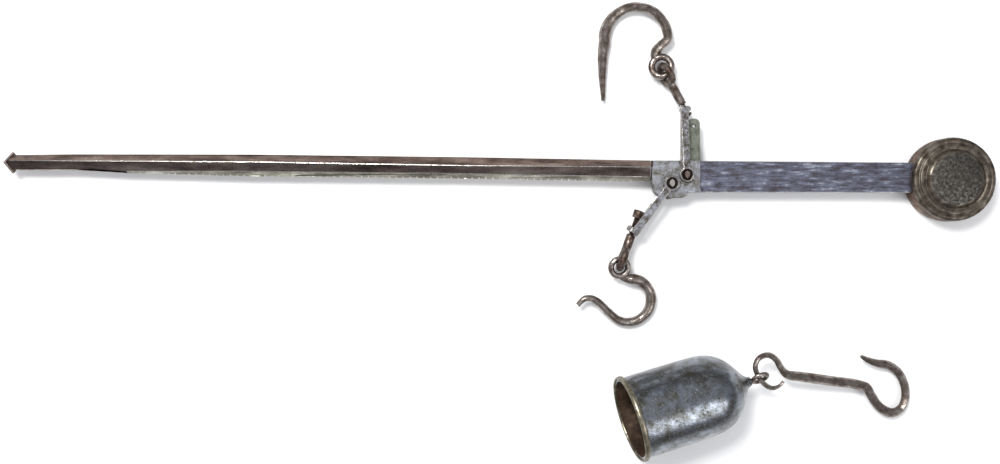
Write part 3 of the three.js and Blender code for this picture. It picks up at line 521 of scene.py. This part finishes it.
def skin(name, bars=(), rings=()):
    """A closed skin over grids of (rows, columns, 3) in mm. Point (r, c) has number r * columns + c, and
    each face joins (r, c), (r, c + 1), (r + 1, c + 1) and (r + 1, c), with the last column next to the
    first, and in a ring the last row too."""
    verts, faces, start = [], [], 0
    for grid, joined in [*((bar, False) for bar in bars), *((ring, True) for ring in rings)]:
        rows, cols = grid.shape[:2]
        r = np.arange(rows if joined else rows - 1)[:, None]
        c = np.arange(cols)[None, :]
        a, b = r * cols + c, r * cols + (c + 1) % cols
        d, e = (r + 1) % rows * cols + c, (r + 1) % rows * cols + (c + 1) % cols
        faces += (start + np.stack([a, b, e, d], -1).reshape(-1, 4)).tolist()
        if not joined:
            faces.append((start + np.arange(cols)[::-1]).tolist())
            faces.append((start + (rows - 1) * cols + np.arange(cols)).tolist())
        verts.append(grid.reshape(-1, 3) / METRE)
        start += rows * cols
    data = bpy.data.meshes.new(name)
    data.from_pydata(np.concatenate(verts).tolist(), [], faces)
    shape = bmesh.new()
    shape.from_mesh(data)
    bmesh.ops.remove_doubles(shape, verts=shape.verts, dist=SKIN_MERGE)
    bmesh.ops.recalc_face_normals(shape, faces=shape.faces)
    shape.to_mesh(data)
    shape.free()
    data.shade_smooth()
    data.set_sharp_from_angle(angle=CREASE)
    return bpy.data.objects.new(name, data)


print("a skin stays smooth up to", round(math.degrees(CREASE)), "degrees")


# %% [markdown]
# A smith bends a bar by eye, so its path has no sharp turns. A spline through a few points read off the
# photograph gives such a path. The centripetal kind has no loops where the points are uneven, and places
# at even distances along it keep the hammer marks even too.
# %% A path through points
SPLINE_STEPS = 24


def smooth_path(points, steps):
    """A centripetal spline through points, then steps + 1 places at even distances along it. Between two
    points it is a blend of blends: each takes a and b to a (high - x) + b (x - low) over high - low."""
    p = np.array(points, float)
    p = np.vstack([2 * p[0] - p[1], p, 2 * p[-1] - p[-2]])
    knots = np.concatenate([[0], np.cumsum(np.linalg.norm(np.diff(p, axis=0), axis=1) ** 0.5)])
    u = np.linspace(0, 1, SPLINE_STEPS, endpoint=False)[None, :, None]
    k = np.arange(1, len(p) - 2)
    t = [knots[k + i][:, None, None] for i in (-1, 0, 1, 2)]
    q = [p[k + i][:, None, :] for i in (-1, 0, 1, 2)]
    x = t[1] + (t[2] - t[1]) * u

    def blend(a, b, low, high):
        return (a * (high - x) + b * (x - low)) / (high - low)

    a1, a2, a3 = (blend(q[i], q[i + 1], t[i], t[i + 1]) for i in range(3))
    b1, b2 = blend(a1, a2, t[0], t[2]), blend(a2, a3, t[1], t[3])
    dense = np.vstack([blend(b1, b2, t[1], t[2]).reshape(-1, 2), p[-2]])
    gone = np.concatenate([[0], np.cumsum(np.linalg.norm(np.diff(dense, axis=0), axis=1))])
    even = np.linspace(0, gone[-1], steps + 1)
    return np.stack([np.interp(even, gone, dense[:, i]) for i in (0, 1)], -1)


def bend(x, y, radius, start, end, count=17):
    """Points on a circle about (x, y), from one angle in degrees to another."""
    a = np.radians(np.linspace(start, end, count))
    return np.stack([x + radius * np.cos(a), y + radius * np.sin(a)], -1).tolist()


print("a half circle of radius 1 has", len(smooth_path(bend(0, 0, 1, 0, 180), 10)), "places")


# %% [markdown]
# A forged bar has a section between a square and a round, because its corners are hammered in. It tapers
# as it was drawn out, and slow waves along and round it stand for the hammer's marks. The eyes of the
# hooks are rings with an oval section, flatter than they are wide.
# %% Forged bars and rings
MARKS_ALONG, MARKS_ROUND, MARKS_FADE = 55, 3, 31


def forged(points, thickness, steps=150, sides=28, squareness=0.3, dent_mm=0.12, seed=3):
    """A bar along a flat path. Its section reaches r (1 - q + q / (|cos| + |sin|)) at each angle, so q = 1
    is a square on its corner and q = 0 a round. From this comes off d (1 + sin(seed + 55 s + 3 angle)) / 2
    times sin(31 s) squared, where s runs from 0 to 1 along the bar."""
    at = smooth_path(points, steps)
    along = np.gradient(at, axis=0)
    along /= np.linalg.norm(along, axis=1)[:, None]
    side = np.stack([-along[:, 1], along[:, 0]], -1)
    share = np.linspace(0, 1, steps + 1)[:, None]
    stations = np.array(thickness)
    radius = np.interp(share, stations[:, 0], stations[:, 1])
    angle = (2 * np.pi * np.arange(sides) / sides)[None, :]
    c, s = np.cos(angle), np.sin(angle)
    reach = radius * (1 - squareness + squareness / (abs(c) + abs(s)))
    marks = 0.5 + 0.5 * np.sin(seed + MARKS_ALONG * share + MARKS_ROUND * angle)
    reach = reach - dent_mm * marks * np.sin(MARKS_FADE * share) ** 2
    flat = at[:, None, :] + (reach * c)[..., None] * side[:, None, :]
    return np.concatenate([flat, np.broadcast_to((reach * s)[..., None], flat.shape[:2] + (1,))], -1)


def ring(outer, inner, half_thick, around=72, sides=24):
    """A ring about Z whose section is an ellipse between two radii."""
    u = (2 * np.pi * np.arange(around) / around)[:, None]
    v = (2 * np.pi * np.arange(sides) / sides)[None, :]
    r = (outer + inner) / 2 + (outer - inner) / 2 * np.cos(v)
    return np.stack([r * np.cos(u), r * np.sin(u), half_thick * np.sin(v) + 0 * u], -1)


def laid(grid, place, lean):
    """A grid turned by the smallest turn that takes +Z to the lean, then moved to a place. The turn is
    I + K + K K / (1 + c), with K the cross product of the two and c their cosine."""
    n = np.array(lean, float)
    n /= np.linalg.norm(n)
    k = np.array([[0, 0, n[0]], [0, 0, n[1]], [-n[0], -n[1], 0]])
    turn = np.eye(3) + k + k @ k / (1 + n[2])
    return grid @ turn.T + np.array(place)


print("a ring has", ring(2, 1, 1).shape[0] * ring(2, 1, 1).shape[1], "points")

# %% [markdown]
# The load hook is one tapered bar: a flattened eye, a neck that turns aside, a wide bend and a long limb
# drawn out to a point. A smith forges it thickest at the shoulder, where it carries most.
# %% The load hook
LOAD_EYE = (118.067, 117.253, 9.4)
LOAD_LEAN = (-0.121, 0, 1)
load_path = [[-5.2, 5.2], [-4.4, 10.4], [-0.8, 15], *bend(-18.4, 21.1, 22.9, -2, 184), [-42.6, 8],
             [-42.9, -6], [-42.4, -24.3]]
load_taper = [[0, 2.6], [0.05, 3.8], [0.1, 3.4], [0.2, 3.6], [0.36, 3.5], [0.5, 3.6], [0.62, 4.5],
              [0.72, 4.1], [0.86, 2.9], [1, 1.4]]
load_hook = skin(
    "load_hook_forged", bars=[laid(forged(load_path, load_taper, squareness=0.35), LOAD_EYE, LOAD_LEAN)],
    rings=[laid(ring(9.6, 4.6, 2.2), LOAD_EYE, LOAD_LEAN)])
show(load_hook, "load_hook", hook_iron)
print("load hook", len(load_hook.data.vertices), "points")

# %% [markdown]
# The suspension hook carries the whole balance. It is shorter and rounder, and its end is drawn out in an
# S and curled back, so that it can't slip off a rail.
# %% The suspension hook
HANG_EYE = (87.345, -28.972, 10.9)
HANG_LEAN = (0.095, -0.155, 1)
hang_path = [[0.9, -6.6], [6.4, -8.3], *bend(7.4, -24.4, 16.5, 66, -134), [-10.9, -29.7], [-16, -24.9],
             [-20.6, -22.6], [-25.6, -23], [-30.3, -27.6]]
hang_taper = [[0, 2.4], [0.08, 3.9], [0.3, 3.9], [0.5, 3.4], [0.7, 3.1], [0.85, 2.8], [1, 1.9]]
hang_hook = skin(
    "suspension_hook_forged",
    bars=[laid(forged(hang_path, hang_taper, squareness=0.1, seed=8), HANG_EYE, HANG_LEAN)],
    rings=[laid(ring(8.4, 4.1, 2.4), HANG_EYE, HANG_LEAN)])
show(hang_hook, "suspension_hook", hook_iron)
print("suspension hook", len(hang_hook.data.vertices), "points")

# %% [markdown]
# The poise's hook is one square bar with rounded ends. One end is bent round into an open eye, and the
# other into the hook that rides in the arm's notches. Its corners point up and down, so it shows a ridge.
# %% The poise hook
POISE_PLACE = (193.702, -102.903, 20.869)
POISE_LEAN = (0.166, 0, 1)
SHANK_END = np.array([71.7, -11.9])
eye_path = [[10.9, -7.9], [7.9, -10.9], [2.5, -12.4], [-2.8, -10], [-7.8, -4.2], [-10.4, 3], [-7.8, 9],
            [-0.8, 11.4], [5.2, 8.1], [9, 1.9], [13.3, -2.6], [24, -4.6], [48, -8.3]]
hook_path = SHANK_END + [[-4, 0.6], [3.4, -1.8], [7.3, -8], [12.6, -15.3], [19.8, -19.9], [25.3, -20.4],
                         [30.9, -16.9], [33.7, -8.9], [32.9, -0.1], [28.5, 8.5], [21.4, 13.8], [11.8, 15.8],
                         [3.9, 18.5], [-1.2, 21.2]]
poise_taper = [[0, 1.2], [0.05, 1.75], [0.14, 2.0], [0.22, 2.2], [0.27, 2.6], [0.31, 3.4], [0.36, 3.7],
               [0.6, 3.5], [0.7, 3.4], [0.82, 3.3], [0.92, 3.1], [0.97, 2.2], [1, 1.2]]
poise_bar = forged([*eye_path, *hook_path.tolist()], poise_taper, steps=260, squareness=0.6, dent_mm=0.08)
poise_hook = skin("poise_hook_forged", bars=[laid(poise_bar, POISE_PLACE, POISE_LEAN)])
show(poise_hook, "poise_hook", hook_iron)
print("poise hook", len(poise_hook.data.vertices), "points")


# %% [markdown]
# The two swivel studs, the bell's loop, its rim and the round weight are already round enough in the
# solids. A merged copy of each is shaded smooth, with a crease where two faces meet at a sharp angle, so
# that the steps of the turned weight stay crisp.
# %% Smooth copies of round pieces
def softened(cad, finish, crease_angle=50):
    """A merged copy of a solid that is shaded smooth up to an angle in degrees."""
    data = merged_copy(cad, cad + "_smooth")
    data.shade_smooth()
    data.set_sharp_from_angle(angle=math.radians(crease_angle))
    return show(bpy.data.objects.new(cad + "_smooth", data), cad, finish)


for cad, finish in {"load_swivel_stud": rusty_iron, "suspension_swivel_stud": rusty_iron,
                    "poise_loop": hook_iron}.items():
    softened(cad, finish)

# %% [markdown]
# The round weight has three looks. Its wall stands below the front rim and is rusty, the rings on its
# front are dark and turned, and the boss inside the rings is pitted all over.
# %% The round weight
DISC_MIDDLE = PIN[:2] + (202.8, 2.7)
WALL_TOP = 18
BOSS_REACH = 18.6
weight = softened("counterweight_disc", weight_iron, crease_angle=35)
weight.data.materials.append(weight_boss)
weight.data.materials.append(weight_wall)
middles = face_middles(weight.data)
from_axis = np.hypot(*(middles[:, :2] - DISC_MIDDLE).T)
paint_faces(weight.data, np.where(middles[:, 2] < WALL_TOP, 2, np.where(from_axis < BOSS_REACH, 1, 0)))
print("weight", len(middles), "faces")

# %% [markdown]
# The bell is thin sheet raised over a stake and tinned. A profile is turned about its own axis: the outer
# wall, the dome, the hole for the loop's stem, and the inner wall back to the mouth. Each row of the
# profile is a radius and a distance from the mouth. The bead rolled round the mouth is the solid's own.
# %% The bell
softened("poise_rim_ring", rim_bead)
BELL_MOUTH = np.array([92.325, -135.02, 36.877])
BELL_WAY = np.array([0.95045, 0.27254, -0.14954])
outer = np.array([[29.2, 0], [29.2, 20], [28.6, 56], [27.9, 62], [26, 68], [22.8, 73.6], [18, 78.6],
                  [12.6, 82.6], [7.6, 86], [4.4, 89], [3.2, 92]])
inner = np.array([[1.9, 92], [1.9, 82.4], [11, 81.3], [16.4, 77.3], [21.2, 72.3], [24.4, 66.7],
                  [26.3, 60.7], [27, 56], [27.6, 20], [27.6, 0]])
profile = np.vstack([smooth_path(outer, 60), inner])
AROUND = 144
spin = (2 * np.pi * np.arange(AROUND) / AROUND)[None, :]
wall_reach, wall_depth = profile[:, :1], profile[:, 1:]
bell_grid = np.stack([wall_reach * np.cos(spin), wall_reach * np.sin(spin), wall_depth + 0 * spin], -1)
across = np.cross(BELL_WAY, [0, 0, 1.0])
across /= np.linalg.norm(across)
bell_axes = np.stack([across, np.cross(BELL_WAY, across), BELL_WAY])
bell = skin("poise_bell_raised", rings=[bell_grid @ bell_axes + BELL_MOUTH])
show(bell, "poise_bell_shell", tinned_sheet, bell_inside)
print("bell", len(bell.data.polygons), "faces")

# %% [markdown]
# The inside of the bell is brown. The sheet is 1.6 mm thick, so a face is on its inner side when it is nearer
# the axis than the outer wall at its depth by a little more than half of that. The edge of the mouth, at
# depth 0, keeps the tin.
# %% Inside the bell
INNER_FROM = 0.9
EDGE_DEPTH = 0.05
off = face_middles(bell.data) - BELL_MOUTH
depth = off @ BELL_WAY
radius = np.linalg.norm(off - depth[:, None] * BELL_WAY, axis=1)
inside = (radius < np.interp(depth, outer[:, 1], outer[:, 0]) - INNER_FROM) & (depth > EDGE_DEPTH)
paint_faces(bell.data, inside)
print("bell faces inside", int(inside.sum()), "of", len(inside))
